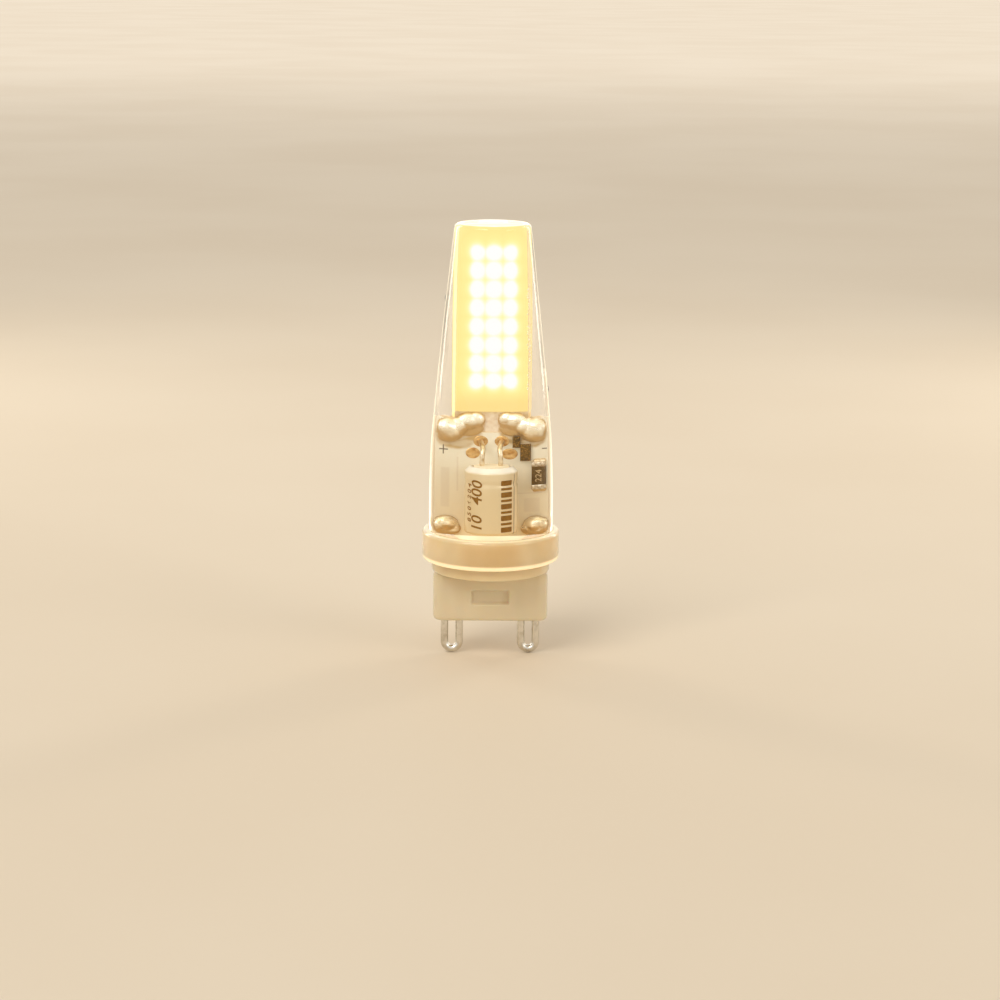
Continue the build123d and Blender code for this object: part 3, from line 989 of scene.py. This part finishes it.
leadWire = metalFinish("leadWire", paint(244, 230, 202), paint(210, 184, 138), 0.24, 2400.0, 0.01)
leadRoute = {
    "radius": 0.24, "x": 0.9,
    "points": (
        (0.0, -3.22, 11.66), (0.0, -3.22, 12.5), (-0.06, -3.15, 13.1), (-0.1, -2.85, 13.5),
        (-0.06, -2.3, 13.85), (0.0, -1.6, 14.0), (0.0, -0.8, 14.05), (0.0, 0.2, 14.05),
        (0.0, 0.98, 14.05),
    ),
}


def makeLead(side, name, node):
    r = leadRoute
    path = []
    for i in range(49):
        t = i / 48 * (len(r["points"]) - 1)
        x, y, z = (
            curveThrough([(k, point[axis]) for k, point in enumerate(r["points"])], t)
            for axis in range(3)
        )
        path.append((side * (r["x"] + x), y, z))
    finishPiece(tube(name, path, r["radius"], 20), leadWire, [node])


makeLead(-1, "capacitorLeadLeft", "capacitor_lead_left")
makeLead(1, "capacitorLeadRight", "capacitor_lead_right")

print("pads")

padShape = {
    "radius": 0.62, "hole": 0.2, "rise": 0.045,
    # across, height, stretch sideways
    "places": ((-0.9, 14.05, 1.0), (0.9, 14.05, 1.0), (-1.56, 12.7, 1.0), (1.56, 12.6, 1.12)),
}


def makePads():
    gold = metalFinish("goldPad", paint(228, 192, 132), paint(190, 140, 78), 0.3, 2600.0, 0.03)
    p, around = padShape, evenAngles(40)
    pieces = []
    for i, (x, z, stretch) in enumerate(p["places"]):
        profile = [(p["hole"] * 0.05, 0.02), (p["hole"], 0.022), (p["hole"] + 0.05, p["rise"])]
        profile += [(p["radius"] - 0.08, p["rise"]), (p["radius"] - 0.02, 0.03), (p["radius"], 0.0)]
        profile += [(p["radius"] * 0.05, -0.01)]
        rings = [
            [(x + r * stretch * math.cos(a), -boardFace - w, z + r * math.sin(a)) for a in around]
            for r, w in profile
        ]
        pieces.append(meshObject(f"pad{i}", *loftedRings(rings)))
    whole = joined(pieces)
    whole.name = "goldPads"
    finishPiece(whole, gold)


makePads()

print("resistor")

resistor = {
    "x": 4.38, "z": 10.05, "width": 1.6, "length": 3.2, "thickness": 0.52, "cap": 0.56,
    "edge": 0.07, "capEdge": 0.09, "number": "224", "numberSize": 0.98,
}


def makeResistor():
    r = resistor
    middle = -boardFace - r["thickness"] / 2
    ceramic = block(
        "resistorBody", (r["x"], middle, r["z"]),
        (r["width"] - 0.04, r["thickness"] - 0.04, r["length"] - 0.1), r["edge"],
    )
    black = plainFinish("resistorGlaze", paint(88, 62, 14), paint(104, 76, 22), 0.44, 2400.0)
    finishPiece(ceramic, black, ["bleed_resistor"])
    tinned = metalFinish("resistorEnd", paint(236, 226, 206), paint(176, 150, 112), 0.3, 3200.0, 0.03)
    caps = [
        block(
            f"resistorEnd{i}", (r["x"], middle, r["z"] + end * (r["length"] - r["cap"]) / 2),
            (r["width"], r["thickness"] + 0.02, r["cap"]), r["capEdge"],
        )
        for i, end in enumerate((-1, 1))
    ]
    finishPiece(joined(caps), tinned)
    vertices, faces = printedText("resistorNumber", r["number"], r["numberSize"])
    placed = [
        (r["x"] - v, -boardFace - r["thickness"] - 0.002 - w, r["z"] + u) for u, v, w in vertices
    ]
    number = meshObject("resistorNumber", placed, faces, False)
    pale = plainFinish("resistorInk", paint(214, 188, 142), paint(190, 158, 108), 0.5, 3000.0)
    finishPiece(number, pale)
    fillets = []
    for end in (-1, 1):
        z = end * (r["length"] / 2 - 0.02) + r["z"]
        fillets += [(r["x"] + dx, z, 0.3, 0.34, 0.36, 0) for dx in (-0.5, -0.2, 0.2, 0.5)]
    makeSolder("resistorSolder", "resistor_solder", lightSolder, fillets, 1, -1, 80, 0.05, 0.03)


makeResistor()

print("nodes that keep their own shape")

speck = {"scale": 6600.0, "size": 0.48, "colour": paint(178, 132, 56)}
nodeFinishes = {
    "driver_board": driverBoardFinish(),
    "light_board": lightBoardFinish(),
    "phosphor_front": phosphorFinish(),
    "led_chips_front": chipFinish(),
    "capacitor_can": metalFinish(
        "canAluminium", paint(240, 234, 220), paint(222, 214, 196), 0.42, 1800.0, 0.01,
    ),
    "capacitor_bung": plainFinish(
        "bungRubber", paint(246, 232, 204), paint(236, 218, 184), 0.5, 2600.0, 0.02,
        # painted glow: the bung is lit up though it sits in the sleeve's shade
        glow=paint(120, 112, 88),
    ),
    "chip_diode_upper": plainFinish(
        "blackChip", paint(84, 60, 14), paint(102, 74, 20), 0.5, 2600.0, 0.03, speck,
    ),
    "sense_resistor": plainFinish(
        "senseResistor", paint(36, 32, 28), paint(54, 48, 42), 0.4, 2600.0, 0.02,
    ),
    "bridge_rectifier": packageFinish("bridgeRectifier", 8.2, 2.0),
    "driver_chip": packageFinish("driverChip", 12.2, 0.8),
}
nodeFinishes["phosphor_rear"] = nodeFinishes["phosphor_front"]
nodeFinishes["led_chips_rear"] = nodeFinishes["led_chips_front"]
nodeFinishes["chip_diode_lower"] = nodeFinishes["chip_diode_upper"]
for name, material in nodeFinishes.items():
    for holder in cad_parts[name].material_slots:
        holder.material = material

print("stage")

studio = {
    "floorReach": 14.0, "floorCells": 24, "skyColour": (1.0, 0.98, 0.945), "skyStrength": 0.56,
    "seenStrength": 1.0,
    # place in metres, size, watts, colour
    "lamps": (
        ("key", (-0.9, -1.2, 1.5), (1.1, 1.1), 19.5, (1.0, 0.97, 0.92)),
        ("fill", (1.5, -1.0, 0.8), (0.9, 0.9), 6.0, (1.0, 0.96, 0.9)),
        ("rimLeft", (-0.2, 0.2, 0.1), (0.05, 0.26), 0.16, (1.0, 0.94, 0.84)),
        ("rimRight", (0.2, 0.2, 0.1), (0.05, 0.26), 0.16, (1.0, 0.94, 0.84)),
    ),
}
camera = {
    "lens": 92.46, "pitch": 12.0, "roll": 0.486, "turn": -0.5, "shift": 1.06,
    "distance": 293.44, "height": 69.14,
}


def makeStage():
    reach, level = studio["floorReach"], cadBounds[0][2] / mm
    cells = studio["floorCells"]
    vertices, faces = [], []
    for i in range(cells + 1):
        for j in range(cells + 1):
            across, along = (j / cells - 0.5) * 2 * reach / mm, (i / cells - 0.5) * 2 * reach / mm
            vertices.append((across, along, level))
    for i in range(cells):
        for j in range(cells):
            k = i * (cells + 1) + j
            faces.append((k, k + 1, k + cells + 2, k + cells + 1))
    floor = meshObject("floor", vertices, faces)
    floor.data.materials.append(floorFinish())
    world = bpy.data.worlds.new("studio")
    bpy.context.scene.world = world
    world.use_nodes = True
    nodes, links = world.node_tree.nodes, world.node_tree.links
    sky = nodes["Background"]
    sky.inputs["Color"].default_value = (*studio["skyColour"], 1.0)
    # the sky has its full strength to the eye, in gloss and through glass, and less as a light
    strength, rays = studio["skyStrength"], nodes.new("ShaderNodeLightPath")
    for ray in ("Is Camera Ray", "Is Glossy Ray", "Is Transmission Ray"):
        step = nodes.new("ShaderNodeMix")
        links.new(rays.outputs[ray], step.inputs[0])
        step.inputs[3].default_value = studio["seenStrength"]
        if isinstance(strength, float):
            step.inputs[2].default_value = strength
        else:
            links.new(strength, step.inputs[2])
        strength = step.outputs[0]
    links.new(strength, sky.inputs["Strength"])
    for name, place, size, watts, colour in studio["lamps"]:
        lamp = bpy.data.lights.new(name, "AREA")
        lamp.shape, lamp.size, lamp.size_y = "RECTANGLE", *size
        lamp.energy, lamp.color = watts, colour
        holder = bpy.data.objects.new(name, lamp)
        holder.location = place
        aim = Vector((0, 0, 0.012)) - Vector(place)
        holder.rotation_euler = aim.to_track_quat("-Z", "Y").to_euler()
        bpy.context.collection.objects.link(holder)


def makeCamera():
    lens = bpy.data.cameras.new("camera")
    lens.sensor_width, lens.lens = 36.0, camera["lens"]
    lens.clip_start, lens.clip_end = 0.01, 20.0
    holder = bpy.data.objects.new("camera", lens)
    turn = Matrix.Rotation(math.radians(camera["turn"]), 4, "Z")
    place = Matrix.Translation(Vector((camera["shift"], -camera["distance"], camera["height"])) * mm)
    tilt = Matrix.Rotation(math.radians(90 - camera["pitch"]), 4, "X")
    roll = Matrix.Rotation(math.radians(camera["roll"]), 4, "Z")
    holder.matrix_world = turn @ place @ tilt @ roll
    bpy.context.collection.objects.link(holder)
    bpy.context.scene.camera = holder


makeStage()
makeCamera()
bpy.context.scene.view_settings.view_transform = "Standard"

print("done")
